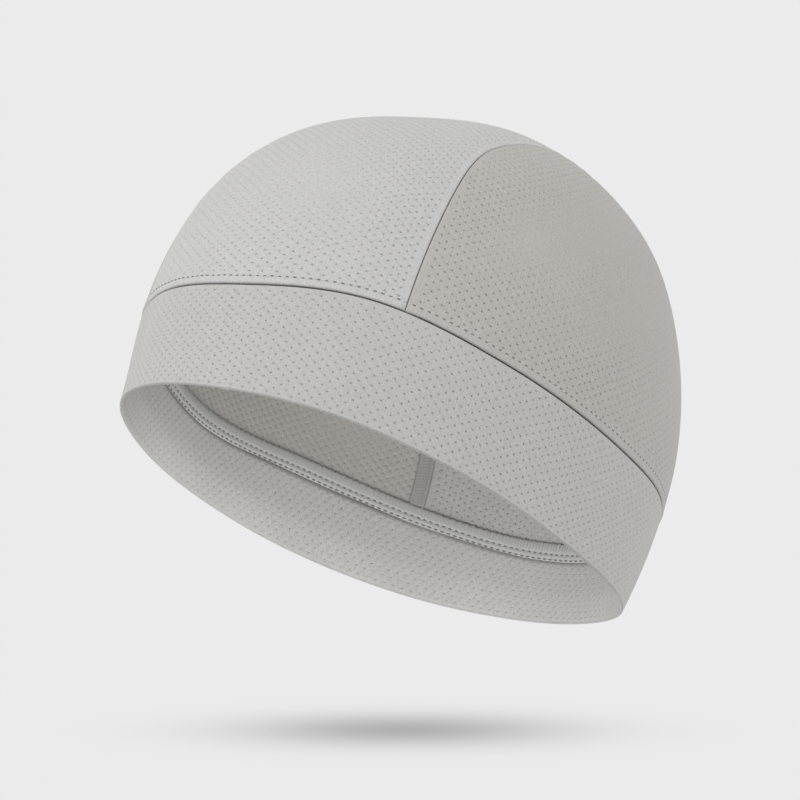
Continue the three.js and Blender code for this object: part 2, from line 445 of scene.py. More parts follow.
# %% [markdown]
# ## How the cloth lies beside a seam
#
# A seam pulls the cloth in, so each panel's edge rounds over into a narrow groove. Above the
# head band the turned-up allowance lies behind the cloth and lifts it into a low ridge, and a
# row of stitching sinks in just above that. Heights are read from short curves by the
# distance to the seam.

# %% Height of the cloth beside its seams
RIDGE_PLACES = [0.0, 0.22, 0.5, 1.1, 1.8, 2.4, 2.7, 3.0, 3.4]
RIDGE_HEIGHTS = [-0.9, -0.25, 0.02, 0.16, 0.18, 0.04, -0.1, 0.0, 0.0]
GROOVE_PLACES = [0.0, 0.12, 0.3, 0.6, 1.2, 3.0]
GROOVE_HEIGHTS = [-0.6, -0.2, 0.06, 0.14, 0.12, 0.0]
PUCKER_LENGTH = 8.5
PUCKER_HEIGHT = 0.16
PUCKER_REACH = 5.0
PUCKER_WANDER = 1.7
WANDER_LENGTH = 11
SAG_HEIGHT = 0.35
# How fast each wave of the sags runs along X, Y and Z
SAG_DOWN = np.array([1 / 17, 1 / 29, 0])
SAG_ROUND = np.array([0, 1 / 21, -1 / 13])
SAG_SMALL = np.array([1 / 23, 0, 1 / 9])
# How far from a seam the puckers and the sags come to their full height
PUCKER_START = 1.5
SAG_START = 15


def seam_relief(to_strip_seam, to_band_seam):
    ridge = np.interp(to_band_seam, RIDGE_PLACES, RIDGE_HEIGHTS)
    groove = np.interp(to_strip_seam, GROOVE_PLACES, GROOVE_HEIGHTS)
    return np.where(np.minimum(ridge, groove) < 0, np.minimum(ridge, groove), ridge + groove)


def soft_relief(points, distance):
    """Small puckers beside the seam, and slow dents and swells in the cloth between."""
    x, y = points[:, 0], points[:, 1]
    wander = PUCKER_WANDER * np.sin(y / WANDER_LENGTH)
    pucker = np.sin((x + y) * FULL_TURN / PUCKER_LENGTH + wander)
    near = np.exp(-np.maximum(distance, 0) / PUCKER_REACH) * np.clip(distance / PUCKER_START, 0, 1)
    sag = np.sin(points @ SAG_DOWN) * np.sin(points @ SAG_ROUND) + 0.5 * np.sin(points @ SAG_SMALL)
    return PUCKER_HEIGHT * pucker * near + SAG_HEIGHT * sag * np.clip(distance / SAG_START, 0, 1)


print("the ridge above the band stands", max(RIDGE_HEIGHTS), "mm proud")

# %% [markdown]
# ## Wrapping the strip
#
# The strip over the top is a rectangle when it lies flat. Its length is measured along the
# middle line of the form, from the band seam in front to the band seam behind. Each flat point
# is then sent to the point of the form at the same share of that line.

# %% The strip's own map from flat cloth to the form
LINE_GAP = 0.1
STRIP_MARGIN = LINE_GAP / 2
STRIP_HALF = STRIP_WIDTH / 2
FINE_STEPS = 400
quarter = math.pi / 2
strip_across = np.linspace(-1, 1, 41)


def strip_ends(across, margin, lift):
    """The turns, in front and behind, at which the strip is this high over the band seam."""

    def low(turn):
        points = strip_points(across, turn, margin)
        return points[:, 2] < seam_height(angle_at(points[:, 0], points[:, 1])) + lift

    front = quarter * last_share(lambda s: low(quarter * s), len(across))
    return front, math.pi - quarter * last_share(lambda s: low(math.pi - quarter * s), len(across))


def arc_lengths(line):
    """How far along a line of points each of them lies."""
    return np.concatenate([[0], np.linalg.norm(np.diff(line, axis=0), axis=1).cumsum()])


strip_front, strip_back = strip_ends(strip_across, STRIP_MARGIN, SEAM_GAP / 2)
middle_share = np.linspace(0, 1, FINE_STEPS)
middle = len(strip_across) // 2
middle_turn = strip_front[middle] + (strip_back[middle] - strip_front[middle]) * middle_share
middle_arc = arc_lengths(strip_points(np.zeros(FINE_STEPS), middle_turn, 0))
STRIP_LENGTH = middle_arc[-1]


def strip_seams(flat):
    return np.column_stack([
        STRIP_HALF - abs(flat[:, 0]), np.minimum(flat[:, 1], STRIP_LENGTH - flat[:, 1])
    ])


def wrap_strip(flat):
    across = flat[:, 0] / STRIP_HALF
    front = np.interp(across, strip_across, strip_front)
    back = np.interp(across, strip_across, strip_back)
    share = np.interp(flat[:, 1], middle_arc, middle_share)
    return strip_points(across, front + (back - front) * share, STRIP_MARGIN)


print("strip cut flat, in mm:", STRIP_WIDTH, "by", round(STRIP_LENGTH, 1))

# %% [markdown]
# ## Wrapping a side panel
#
# A side panel has a straight grain but a curved outline. Its cloth is laid on the form along a
# level line at mid height: up and down from there it follows the straightest path over the
# form, as tape does. Those paths are walked in small steps, and a table of where they pass
# turns flat places into points on the form.

# %% The side panels' map from flat cloth to the form
BASE_HEIGHT = 72.0
TABLE_STEP = 1.0
TABLE_DOWN = 75
TABLE_UP = 85
TABLE_REACH = 118
# The base line's angles round the cap in degrees, and how many points it has
BASE_ANGLES = (4, 176)
BASE_POINTS = 600
LEAST_SLOPE = 0.2


def to_shell(points):
    for _ in range(2):
        slope = slopes(points) / (2 * SLOPE_STEP)
        points = points - beyond_shell(points)[:, None] * slope / (slope**2).sum(1, keepdims=True)
    return points


def walk(points, heading, steps):
    """The points passed on straightest paths over the form, a step apart."""
    passed = [points]
    for _ in range(steps):
        points = to_shell(points + heading * TABLE_STEP)
        normal = outward(points)
        heading = heading - (heading * normal).sum(1, keepdims=True) * normal
        heading = heading / np.linalg.norm(heading, axis=1, keepdims=True)
        passed.append(points)
    return passed


def side_table(side):
    """Points on the form by flat place: columns run from front to back, rows upwards."""
    angle = np.radians(np.linspace(*BASE_ANGLES, BASE_POINTS))
    arc = arc_lengths(ring_points(side * angle % FULL_TURN, np.full(BASE_POINTS, BASE_HEIGHT)))
    arc -= np.interp(quarter, angle, arc)
    columns = np.arange(-TABLE_REACH, TABLE_REACH + 1) * TABLE_STEP
    chosen = np.interp(columns, arc, angle)
    base = ring_points(side * chosen % FULL_TURN, np.full(len(columns), BASE_HEIGHT))
    along = np.gradient(base, axis=0)
    up = np.cross(outward(base), along) * side
    up /= np.linalg.norm(up, axis=1, keepdims=True)
    rows = walk(base, -up, TABLE_DOWN)[:0:-1] + walk(base, up, TABLE_UP)
    return np.stack(rows, axis=1)


def wrapper(table):
    """The map from flat places to points on the form, read between a table's entries."""

    def wrap(flat):
        column = np.clip(flat[:, 0] / TABLE_STEP + TABLE_REACH, 0, table.shape[0] - 1 - TINY)
        row = np.clip(flat[:, 1] / TABLE_STEP + TABLE_DOWN, 0, table.shape[1] - 1 - TINY)
        i, j = column.astype(int), row.astype(int)
        a, b = (column - i)[:, None], (row - j)[:, None]
        low = table[i, j] * (1 - a) + table[i + 1, j] * a
        high = table[i, j + 1] * (1 - a) + table[i + 1, j + 1] * a
        return to_shell(low * (1 - b) + high * b)

    return wrap


def side_seams(side, wrap):
    """The distances of flat places to the strip seam and to the band seam."""

    def rises(flat):
        points = wrap(flat)
        beside = side * points[:, 0] - strip_reach(points[:, 1]) - LINE_GAP / 2
        above = points[:, 2] - seam_height(angle_at(points[:, 0], points[:, 1])) - SEAM_GAP / 2
        return np.column_stack([beside, above])

    def seams(flat):
        steps = np.eye(2) * SLOPE_STEP * 10
        across, upwards = (rises(flat + s) - rises(flat - s) for s in steps)
        slope = np.hypot(across, upwards) / (2 * steps[0, 0])
        return rises(flat) / np.maximum(slope, LEAST_SLOPE)

    return seams


sides = {}
for name, side in (("left", 1), ("right", -1)):
    wrap = wrapper(side_table(side))
    sides[name] = (side, wrap, side_seams(side, wrap))
    across = np.linalg.norm(np.diff(wrap(np.array([[0, 45], [10, 45.0]])), axis=0))
    print(name, "side: 10 mm of cloth near the top covers", round(across, 2), "mm")

# %% [markdown]
# ## Materials
#
# The cloth is a matt grey polyester knit. Its holes are in the mesh, and a vertex attribute
# tells the material where they are, so that the dark dots sit exactly in the dips. Each dot is
# painted shade, standing in for the shade seen down the hole. The same attribute carries painted
# shade along the seams, in the allowance's grooves, along the fold at the rim and on the strip's
# inner face. The knit itself, upright wales less than a millimetre apart, is too fine for a mesh
# and is a bump. It reads the flat UV map, so it runs along the cloth's grain over every curve.

# %% A small class for shader maths, and one method for every other node


class Term:
    """A socket that takes part in sums: an expression on terms adds its Math nodes."""

    def __init__(self, shader, socket):
        self.shader, self.socket = shader, socket

    def using(self, operation, *terms):
        node = self.shader.node("Math", {"operation": operation}, dict(enumerate(terms)))
        return Term(self.shader, node.outputs[0])

    def __add__(self, other):
        return self.using("ADD", self, other)

    def __sub__(self, other):
        return self.using("SUBTRACT", self, other)

    def __rsub__(self, other):
        return self.using("SUBTRACT", other, self)

    def __mul__(self, other):
        return self.using("MULTIPLY", self, other)

    def sine(self):
        return self.using("SINE", self)

    def size(self):
        return self.using("ABSOLUTE", self)

    def clamped(self):
        return self.using("MINIMUM", self.using("MAXIMUM", self, 0.0), 1.0)


class Finish:
    """A material being made: its nodes, and the shader that they feed."""

    def __init__(self, name, shown_colour):
        self.material = bpy.data.materials.new(name)
        self.material.use_nodes = True
        self.material.diffuse_color = (*shown_colour, 1)
        self.nodes = self.material.node_tree.nodes
        self.shader = self.nodes["Principled BSDF"]

    def node(self, kind, settings, sockets):
        node = self.nodes.new("ShaderNode" + kind)
        for key, value in settings.items():
            setattr(node, key, value)
        for key, value in sockets.items():
            self.feed(node.inputs[key], value)
        return node

    def feed(self, socket, value):
        value = value.socket if isinstance(value, Term) else value
        if isinstance(value, bpy.types.NodeSocket):
            self.material.node_tree.links.new(value, socket)
        else:
            socket.default_value = value

    def term(self, socket):
        return Term(self, socket)

    def blend(self, share, first, second):
        sockets = {"Factor": share, 6: first, 7: second}
        return self.node("Mix", {"data_type": "RGBA"}, sockets).outputs[2]

    def noise(self, scale, detail):
        place = self.node("TexCoord", {}, {}).outputs["Object"]
        sockets = {"Vector": place, "Scale": scale, "Detail": detail}
        return self.term(self.node("TexNoise", {}, sockets).outputs[0])

    def fibrous(self, colour, dark, roughness, constants, bump):
        """A rough face that a term darkens, with constants for other sockets and a bump."""
        darkened = self.blend(dark.clamped(), (*colour, 1), DARK_WEAVE_AND_PAINTED_SHADE)
        self.feed(self.shader.inputs["Base Color"], darkened)
        self.feed(self.shader.inputs["Roughness"], roughness)
        for socket, value in constants.items():
            self.shader.inputs[socket].default_value = value
        self.feed(self.shader.inputs["Normal"], self.node("Bump", {}, bump).outputs[0])
        return self.material


print("shader helpers:", Term.__name__, Finish.__name__)

# %% The knit cloth
# The dark tone that the weave, the fuzz and the painted shade draw the colour towards
DARK_WEAVE_AND_PAINTED_SHADE = (0.13, 0.13, 0.122, 1)
WALE_WIDTH = 0.85
COURSE_HEIGHT = 0.7
WALE_WEIGHT = 0.6
COURSE_WEIGHT = 0.22
COURSE_SLANT = 2.2
SLANT_SHIFT = 0.8
# How much of the dark colour comes from the mean weave, from fuzz, from slow drifts and always
WEAVE_MEAN = 0.4
FUZZ_SHARE = 0.62
DRIFT_SHARE = 0.1
DARK_SHARE = 0.055
FUZZ_SCALE = 1400
DRIFT_SCALE = 32
FRONT_COLOUR = (0.553, 0.550, 0.538)
SIDE_COLOUR = (0.482, 0.466, 0.436)
BAND_COLOUR = (0.510, 0.505, 0.487)
EDGE_COLOUR = (0.53, 0.53, 0.505)
# The strip seams' inner edges and loops lie inside the crown: their colour is darkened by painted shade
INNER_EDGE_PAINTED_SHADE_COLOUR = (0.38, 0.375, 0.355)
PAINTED_SHADE_LOOKUP = {"attribute_name": "painted_shade_amount"}
KNIT_BUMP = 0.12 * MM


def knit(name, colour, painted_shade_weight, wale_share):
    """Matt perforated knit; the shares say how strong the painted shade that its mesh carries
    is, in holes, seams and folds, and how dark its wales are.
    """
    finish = Finish(name, colour)
    uv = finish.node("UVMap", {"uv_map": "cloth"}, {}).outputs[0]
    parts = finish.node("SeparateXYZ", {}, {0: uv}).outputs
    u, v = (finish.term(parts[i]) * (1 / UV_SCALE) for i in (0, 1))
    wale = (u * (math.pi / WALE_WIDTH)).sine().size()
    slant = (u * (math.pi / WALE_WIDTH) + SLANT_SHIFT).sine().size()
    course = (v * (FULL_TURN / COURSE_HEIGHT) + slant * COURSE_SLANT).sine()
    weave = wale * WALE_WEIGHT + course * COURSE_WEIGHT
    fuzz = finish.noise(FUZZ_SCALE, 3)
    drift = finish.noise(DRIFT_SCALE, 2)
    painted_shade_here = finish.term(finish.node("Attribute", PAINTED_SHADE_LOOKUP, {}).outputs["Fac"])
    uneven = (0.5 - fuzz) * FUZZ_SHARE + (0.5 - drift) * DRIFT_SHARE + DARK_SHARE
    dark = painted_shade_here * painted_shade_weight + (WEAVE_MEAN - weave) * wale_share + uneven
    constants = {"Specular IOR Level": 0.25, "Sheen Weight": 0.12, "Sheen Roughness": 0.45}
    bump = {"Strength": 0.5, "Distance": KNIT_BUMP, "Height": weave + fuzz * 0.8}
    return finish.fibrous(colour, dark, fuzz * 0.16 + 0.78, constants, bump)


strip_cloth = knit("knit_over_the_top", FRONT_COLOUR, 1.0, 0.1)
side_cloth = knit("knit_side", SIDE_COLOUR, 0.95, 0.17)
band_cloth = knit("knit_band", BAND_COLOUR, 0.85, 0.1)
print("cloth:", strip_cloth.name, side_cloth.name, band_cloth.name)

# %% The sewing thread and the overlocked edge
FIBRE_SCALE = 2600
THREAD_COLOUR = (0.6, 0.6, 0.575)
LOOP_COLOUR = (0.5, 0.5, 0.48)
# Painted shade for the needle holes between stitches
NEEDLE_HOLE_SHADE_COLOUR = (0.2, 0.2, 0.19)
THREAD_BUMP = 0.05 * MM
NEEDLE_BUMP = 0.02 * MM


def yarn(name, colour, bump_height):
    """Spun thread or a closely overlocked edge: matt, with fine twisted fibres, and darkened
    where its mesh carries painted shade.
    """
    finish = Finish(name, colour)
    fibre = finish.noise(FIBRE_SCALE, 2)
    painted_shade_here = finish.term(finish.node("Attribute", PAINTED_SHADE_LOOKUP, {}).outputs["Fac"])
    constants = {"Specular IOR Level": 0.3, "Sheen Weight": 0.1}
    bump = {"Strength": 0.6, "Distance": bump_height, "Height": fibre}
    return finish.fibrous(colour, fibre * 0.22 + painted_shade_here * 0.75, fibre * 0.2 + 0.7, constants, bump)


thread = yarn("sewing_thread", THREAD_COLOUR, THREAD_BUMP)
loop_thread = yarn("overlock_thread", LOOP_COLOUR, THREAD_BUMP)
# The strip seams' inner loops and edges take the colour darkened by painted shade
inner_loop_painted_shade_thread = yarn("strip_overlock_thread_painted_shade", INNER_EDGE_PAINTED_SHADE_COLOUR, THREAD_BUMP)
edge_cloth = yarn("overlocked_edge", EDGE_COLOUR, KNIT_BUMP)
inner_edge_painted_shade_cloth = yarn("overlocked_strip_edge_painted_shade", INNER_EDGE_PAINTED_SHADE_COLOUR, KNIT_BUMP)
needle_hole_shade = yarn("painted_needle_hole_shade", NEEDLE_HOLE_SHADE_COLOUR, NEEDLE_BUMP)
print("thread:", thread.name, edge_cloth.name)

# %% [markdown]
# ## The three crown panels
#
# Each panel is cut flat, gets its wall, and is then wrapped: a point's flat place says where it
# lies on the form, and its height above the flat cloth is kept along the form's normal.

# %% Wrap and finish the crown panels
FADE_REACH = 28.0
FADE_POWER = 1.5
FADE_SHARE = 0.95
FADE_RIPPLE = 0.12
# How fast the ripples run across and along the flat cloth
STRIP_RIPPLE = np.array([1 / 7, 1 / 13])
SIDE_RIPPLE = np.array([1 / 9, -1 / 6])
FAINTEST_HOLE = 0.2
BARE_CENTRE = np.array([0.0, 42.0])
BARE_REACH = np.array([30.0, 26.0])
BARE_SHARE = 0.55
# Painted shade on the strip's inner face, inside the crown
STRIP_INSIDE_PAINTED_SHADE = 0.2


def wrap_cloth(bm, wrap, seams, fade, inside_painted_shade):
    """Moves flat cloth onto the form, with its relief, fades its holes and adds painted shade
    to its inner face.
    """
    keep_flat_uv(bm, bm.faces)
    verts = list(bm.verts)
    flat = flat_of(verts)
    above = np.array([v.co.z for v in verts])
    points = wrap(flat)
    away = seams(flat)
    near = away.min(axis=1)
    strength = fade(flat, near)
    wall_side = above < -KNIT_WALL / 2
    layer = np.where(wall_side, -KNIT_WALL, 0.0)
    relief = seam_relief(away[:, 0], away[:, 1])
    relief = np.where(wall_side, np.minimum(relief, 0) * 0.5, relief)
    height = layer + (above - layer) * strength + relief + soft_relief(points, near)
    shade = bm.verts.layers.float["painted_shade_amount"]
    extra = np.where(wall_side, inside_painted_shade, 0.0)
    for v, at, dark, more in zip(verts, sunk(points, -height), strength, extra):
        v.co = at
        v[shade] = v[shade] * dark + more


def strip_fade(flat, near):
    """Holes are stretched nearly shut over the forehead and clear beside the seams."""
    bare = np.exp(-(((flat - BARE_CENTRE) / BARE_REACH) ** 2).sum(axis=1))
    ripple = FADE_RIPPLE * np.sin(flat @ STRIP_RIPPLE)
    return np.clip(1.0 - BARE_SHARE * bare + ripple, FAINTEST_HOLE, 1)


def side_fade(flat, near):
    """Holes are clear beside the seams and faint in the middle of the panel."""
    open_share = np.exp(-(np.maximum(near, 0) / FADE_REACH) ** FADE_POWER)
    ripple = FADE_RIPPLE * np.sin(flat @ SIDE_RIPPLE)
    return np.clip(FAINTEST_HOLE + FADE_SHARE * open_share + ripple, FAINTEST_HOLE, 1)


corners = [(x, y) for x in (-STRIP_HALF, STRIP_HALF) for y in (0, STRIP_LENGTH)]
bm, holes = cut_panel((-STRIP_HALF - 1, 0), (STRIP_HALF + 1, STRIP_LENGTH), strip_seams, corners)
give_wall(bm, KNIT_WALL)
wrap_cloth(bm, wrap_strip, strip_seams, strip_fade, STRIP_INSIDE_PAINTED_SHADE)
strip = finish_piece("crown_strip_cloth", bm, strip_cloth, ["crown_center_panel"])
print("strip:", holes, "holes")

# %% Cut and wrap both side panels
SIDE_LOW = -60
SIDE_HIGH = 84
CORNER_REACH = 112
CORNER_HIGH = 40


def side_corners(seams):
    """The flat places where the two seams meet, at the front and the back of a side panel."""
    across = np.arange(-CORNER_REACH, CORNER_REACH + 1, COLUMN_STEP)
    grid = np.stack(np.meshgrid(across, np.arange(SIDE_LOW, CORNER_HIGH, COLUMN_STEP)), axis=-1)
    flat = grid.reshape(-1, 2)
    miss = np.abs(seams(flat)).max(axis=1)
    ends = [np.where(flat[:, 0] < 0, miss, np.inf), np.where(flat[:, 0] > 0, miss, np.inf)]
    starts = np.array([flat[e.argmin()] for e in ends])
    return to_level(seams, starts, np.full(2, BOTH_SEAMS), 0)


for name, (side, wrap, seams) in sides.items():
    corners = side_corners(seams)
    print(name, "side corners on the flat cloth:", corners.round(1).tolist())
    low = (COLUMN_STEP * math.floor(corners[0][0] / COLUMN_STEP), SIDE_LOW)
    high = (corners[1][0] + 1, SIDE_HIGH)
    bm, holes = cut_panel(low, high, seams, corners)
    width, length = (float(size) * MM for size in np.ptp(flat_of(bm.verts), axis=0))
    area = sum(f.calc_area() for f in bm.faces) * MM**2
    give_wall(bm, KNIT_WALL)
    wrap_cloth(bm, wrap, seams, side_fade, 0.0)
    panel = finish_piece(
        f"crown_side_cloth_{name}", bm, side_cloth, [f"crown_side_panel_{name}"]
    )
    print("cut from", round(width / MM), "by", round(length / MM), "mm,", round(area * 1e4), "square cm")
    print(name, "side:", holes, "holes")

# %% [markdown]
# ## The doubled band
#
# The band is one strip of cloth folded at the rim, so its two layers show the knit turned two
# ways: inside, the holes stand in taller, narrower cells. Each layer is perforated flat and
# wrapped as a ring. The fold is extruded from the outer layer's lower edge along a half circle,
# and the layers are bridged there and, out of sight, in the seam.

# %% Sizes of the band's two layers
OUTER_COLUMNS = 286
OUTER_ROWS = 24
OUTER_STEP = 1.42
INNER_COLUMNS = 340
INNER_ROWS = 11
INNER_STEP = 2.3
FOLD_RADIUS = 0.6
FOLD_LIFT = -0.2
FIRST_ROW = 0.65
WAVE_HEIGHT = 0.3
WAVES_ROUND = 11
WAVE_WANDER = 1.3
WANDERS_ROUND = 3
FLARE = 1.7
FLARE_ANGLE = math.radians(285)
FLARE_SPREAD = math.radians(42)
FLARE_HEIGHT = 16.0
FOLD_TURNS = 6
TOP_HEM = 0.7
# Distance to the seam, height over the form and painted shade, the dark line of its groove
TOP_ROWS = [(0.5, -0.02, 0.0), (0.3, -0.12, 0.0), (0.1, -0.45, 0.35), (0.0, -1.0, 0.9)]
OUTER_HOLE_DEPTH = 0.4
INNER_HOLE_DEPTH = 0.15
INNER_HOLE = Vector((1.5, 1.5, 0.8))
# Painted shade along the fold at the rim
FOLD_SHADE = 0.42
# By this share of its height the inner layer has come to its depth at the top
DEPTH_SHARE = 0.4
CLOSE = 0.01
RING_STEPS = 1440

ring_angle = np.linspace(0, FULL_TURN, RING_STEPS + 1)
ring_arc = arc_lengths(ring_points(ring_angle, rim_height(ring_angle) + BAND_HEIGHT / 2))
RING_LENGTH = ring_arc[-1]
print("round the cap, half way up the band:", round(RING_LENGTH, 1), "mm")

# %% Places on the band


def angles_along(lengths):
    """The angles at lengths round the cap, measured half way up the band."""
    return np.interp(np.asarray(lengths) % RING_LENGTH, ring_arc, ring_angle)


def above_seam(angle, height, depth):
    """Points at a height above the band seam and a depth under the outer face."""
    return sunk(ring_points(angle, seam_height(angle) + SEAM_GAP / 2 + height), depth)


def band_path(angle, height, depth):
    """Points of the band, with long, low waves, and its edge turned out a little on the right,
    where it is pulled up."""
    above = height - rim_height(angle)
    share = np.clip(above / BAND_HEIGHT, 0, 1)
    wander = WAVE_WANDER * np.sin(angle * WANDERS_ROUND)
    waves = WAVE_HEIGHT * np.sin(angle * WAVES_ROUND + wander) * share * (1 - share) * 4
    flare = FLARE * np.clip(1 - above / FLARE_HEIGHT, 0, 1) ** 2
    turned_out = flare * np.exp(-(((angle - FLARE_ANGLE) / FLARE_SPREAD) ** 2))
    return sunk(ring_points(angle, height), depth - waves - turned_out)


def ring_grid(bm, columns, rows, row_step):
    """Adds a flat grid as long as the cap is round, and finds the crossings off its edges."""
    verts, crossings = flat_grid(bm, columns, rows, RING_LENGTH / columns, row_step)
    keep_flat_uv(bm, {f for v in verts for f in v.link_faces})
    return verts, [v for v in crossings if 0.5 < v.co.y / row_step < rows - 0.5]


def place_layer(verts, rows, row_step, depths, hem):
    """Wraps one layer of the band round the form, from the fold up to its top hem. The depths
    are those at the fold and at the top."""
    flat = flat_of(verts)
    angle = angles_along(np.where(flat[:, 0] > RING_LENGTH - CLOSE, 0, flat[:, 0]))
    low = rim_height(angle) + FOLD_LIFT + FOLD_RADIUS
    high = seam_height(angle) - SEAM_GAP / 2 - hem
    share = np.interp(flat[:, 1] / row_step, [0, 1, rows], [0, FIRST_ROW, rows]) / rows
    height, depth = low + (high - low) * share, np.interp(share, [0, DEPTH_SHARE], depths)
    for v, at in zip(verts, band_path(angle, height, depth)):
        v.co = at


print("holes on the band are", round(RING_LENGTH / OUTER_COLUMNS * 2, 2), "mm apart")

# %% Wrap the band


def boundary_loops(bm):
    """The open loops of edges, lowest first."""
    left, loops = set(open_edges(bm.edges)), []
    while left:
        loop, fresh = set(), {left.pop()}
        while fresh:
            loop |= fresh
            beside = {e for f in fresh for v in f.verts for e in v.link_edges if e in left}
            left -= beside
            fresh = beside
        loops.append(loop)
    height = [sum(v.co.z for e in loop for v in e.verts) / len(loop) for loop in loops]
    return [loops[i] for i in np.argsort(height)]


def extrude_ring(bm, loop, place):
    """Extrudes a loop once, and puts each new point where place says for its angle."""
    grown = bmesh.ops.extrude_edge_only(bm, edges=list(loop))["geom"]
    new = only(bmesh.types.BMVert, grown)
    at = np.array([v.co for v in new])
    for v, point in zip(new, place(angle_at(at[:, 0], at[:, 1]))):
        v.co = point
    return set(open_edges(only(bmesh.types.BMEdge, grown)))


bm = new_piece_mesh()
outer, outer_holes = ring_grid(bm, OUTER_COLUMNS, OUTER_ROWS, OUTER_STEP)
place_layer(outer, OUTER_ROWS, OUTER_STEP, (0, 0), TOP_HEM)
bmesh.ops.remove_doubles(bm, verts=bm.verts, dist=CLOSE)
bmesh.ops.recalc_face_normals(bm, faces=bm.faces)
fold, top_edge = boundary_loops(bm)
mark = bm.verts.layers.float["painted_shade_amount"]
for i in range(1, FOLD_TURNS):
    turn = math.pi * i / FOLD_TURNS
    low = FOLD_LIFT + FOLD_RADIUS * (1 - math.sin(turn))
    depth = FOLD_RADIUS * (1 - math.cos(turn))
    fold = extrude_ring(bm, fold, lambda a: band_path(a, rim_height(a) + low, depth))
    for v in edge_verts(fold):
        v[mark] = FOLD_SHADE
for level, lift, shade in TOP_ROWS:
    top_edge = extrude_ring(bm, top_edge, lambda a: above_seam(a, -SEAM_GAP - level, -lift))
    for v in edge_verts(top_edge):
        v[mark] = shade
inner, inner_holes = ring_grid(bm, INNER_COLUMNS, INNER_ROWS, INNER_STEP)
place_layer(inner, INNER_ROWS, INNER_STEP, (2 * FOLD_RADIUS, BAND_WALL), 0.0)
bmesh.ops.remove_doubles(bm, verts=inner, dist=CLOSE)
loops = boundary_loops(bm)
bmesh.ops.bridge_loops(bm, edges=list(loops[0] | loops[1]))
bmesh.ops.bridge_loops(bm, edges=list(loops[2] | loops[3]))
bmesh.ops.recalc_face_normals(bm, faces=bm.faces)
holes = 0
layers = (outer_holes, OUTER_HOLE_DEPTH, UPRIGHT_HOLE), (inner_holes, INNER_HOLE_DEPTH, INNER_HOLE)
for crossings, depth, shape in layers:
    holes += perforate(bm, [v for v in crossings if v.is_valid], depth, shape)
finish_piece("band_cloth", bm, band_cloth, ["band"])
print("band:", holes, "holes")

# %% [markdown]
# ## The allowance inside
#
# Band and crown are sewn edge to edge, and the cut edges are turned up and sewn flat inside.
# From below it shows as a raised strip with two rows of stitching and an overlocked upper
# edge. It is a grid closed both ways into a ring, round a section given as a short list.

# %% Wrap the allowance
ALLOWANCE_COLUMNS = 440
NEEDLE_ROWS = [0.3, 2.3]
NEEDLE_DEPTH = 2.16
STITCH_PITCH = 2.5
LOOP_PITCH = 1.3
SCALLOP = 0.22
EDGE_DRIFT = 0.25
DRIFT_LENGTH = 14
# Height above the seam, depth under the outer face and painted shade, in the grooves of the
# needle rows and under the upper edge
ALLOWANCE_SECTION = [
    (-0.1, 1.35, 0.0), (-0.13, 1.95, 0.0), (0.0, 2.06, 0.0), (0.3, 2.14, 0.15), (0.55, 2.22, 0.1),
    (0.8, 2.38, 0.0), (1.3, 2.44, 0.0), (1.8, 2.4, 0.0), (2.05, 2.28, 0.1), (2.3, 2.24, 0.2),
    (2.55, 2.28, 0.1), (2.8, 2.4, 0.0), (3.6, 2.42, 0.0), (5.0, 2.3, 0.0), (6.0, 2.12, 0.0),
    (6.4, 1.9, 0.0), (6.45, 1.65, 0.1), (6.1, 1.4, 0.1), (4.5, 1.32, 0.0), (2.2, 1.32, 0.0),
]


def edge_wave(lengths):
    """The upper edge's small scallops, where the overlocking pulls it in."""
    scallops = SCALLOP * np.sin(lengths * FULL_TURN / (2 * LOOP_PITCH))
    return scallops + EDGE_DRIFT * np.sin(lengths / DRIFT_LENGTH)


def section_tube(columns, section, place, closed):
    """A tube with the section's points round it, closed into a ring or with both ends filled.
    Place puts each point, by its share of the tube's length and the section's two distances."""
    bm = new_piece_mesh()
    rows = len(section)
    verts, _ = flat_grid(bm, columns, rows, 1, 1)
    column = np.array([round(v.co.x) for v in verts])
    row = np.array([round(v.co.y) % rows for v in verts])
    out, depths, shades = np.array(section).T
    share = column % columns / columns if closed else column / columns
    mark = bm.verts.layers.float["painted_shade_amount"]
    for v, at, dark in zip(verts, place(share, out[row], depths[row]), shades[row]):
        v.co = at
        v[mark] = dark
    bmesh.ops.remove_doubles(bm, verts=bm.verts, dist=TINY)
    if not closed:
        bmesh.ops.holes_fill(bm, edges=open_edges(bm.edges), sides=0)
    return bm


def place_allowance(share, height, depth):
    lengths = share * RING_LENGTH
    angle = angles_along(lengths)
    lift = height + edge_wave(lengths) * np.clip(height / ALLOWANCE_HEIGHT, 0, 1)
    return above_seam(angle, lift, depth)


bm = section_tube(ALLOWANCE_COLUMNS, ALLOWANCE_SECTION, place_allowance, True)
finish_piece("band_seam_allowance_cloth", bm, edge_cloth, ["band_seam_allowance"])

# %% [markdown]
# ## Stitches
#
# Thread is easiest as curves: each stitch is one short spline with a round bevel, and a
# thousand of them make one curve object, which becomes a mesh. A stitch starts and ends under
# the cloth and stands proud of it in the middle. Between two stitches lies a short dark spline,
# painted shade that stands for the shade in the needle's hole: cutting the holes would split
# the cloth's even grid.

# %% Sew along paths
TOPSTITCH_LEVEL = 2.7
SHOULDER_SHARE = 0.55
